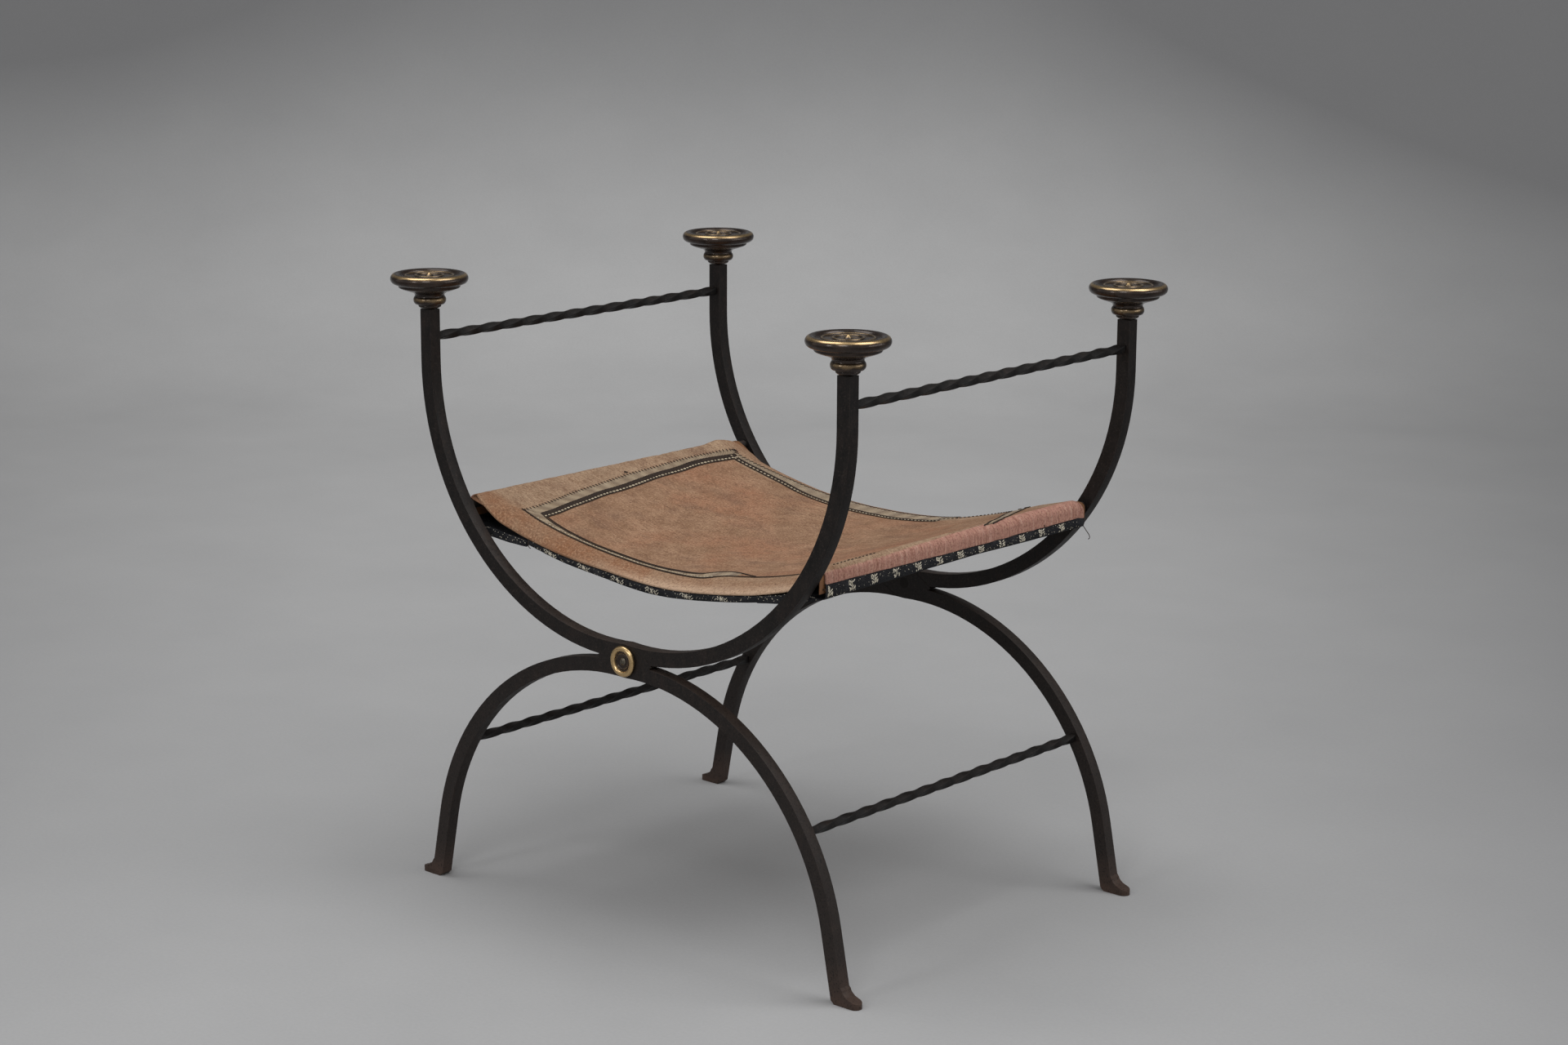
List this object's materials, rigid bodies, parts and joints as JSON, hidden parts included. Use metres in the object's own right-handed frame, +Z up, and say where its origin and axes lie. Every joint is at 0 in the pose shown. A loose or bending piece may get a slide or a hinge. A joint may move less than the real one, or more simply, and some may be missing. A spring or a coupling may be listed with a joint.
{
  "type": "folding X-frame stool",
  "caption": "Wrought iron curule stool with crossed bow legs, twisted cross rods, brass knobs and an embroidered sling seat; the two frames fold about the crossing.",
  "frame": {"origin": "on the floor, under the middle of the stool", "axes": "+X to the stool's right arm as seen from the front, +Y from front to rear, +Z up"},
  "size_m": [0.6616, 0.5314, 0.6661],
  "materials": {
    "iron": "forged, blackened and waxed, worn to bare metal on the edges, brown rust on the feet",
    "brass": "turned, dark brown patina, polished by wear on the rims",
    "velvet": "faded tan and rose velvet with embroidery, worn and stained",
    "leather": "plain vegetable-tanned hide, orange brown",
    "woven_band": "black woven wool band with off-white motifs"
  },
  "bodies": {
    "frame_a": {"front_left_bar": "iron", "rear_left_bar": "iron", "left_arm_rod": "iron", "right_stretcher": "iron", "left_seat_rod": "iron", "front_left_knob": "brass", "rear_left_knob": "brass", "left_knob_studs": "iron", "front_pivot_pin": "iron", "rear_pivot_pin": "iron", "front_rosette": "brass", "rear_rosette": "brass", "seat_leather": "leather", "seat_cover": "velvet", "left_trim": "woven_band", "right_trim": "woven_band", "front_trim": "woven_band", "rear_trim": "woven_band"},
    "frame_b": {"front_right_bar": "iron", "rear_right_bar": "iron", "right_arm_rod": "iron", "left_stretcher": "iron", "right_seat_rod": "iron", "front_right_knob": "brass", "rear_right_knob": "brass", "right_knob_studs": "iron"}
  },
  "joints": [
    {"name": "fold", "type": "hinge", "parent": "frame_a", "child": "frame_b", "pos_m": [0, 0, 0.2969], "axis": [0, -1, 0], "range_deg": [0, 60], "deforming": ["seat_leather", "seat_cover", "left_trim", "right_trim", "front_trim", "rear_trim"]}
  ]
}
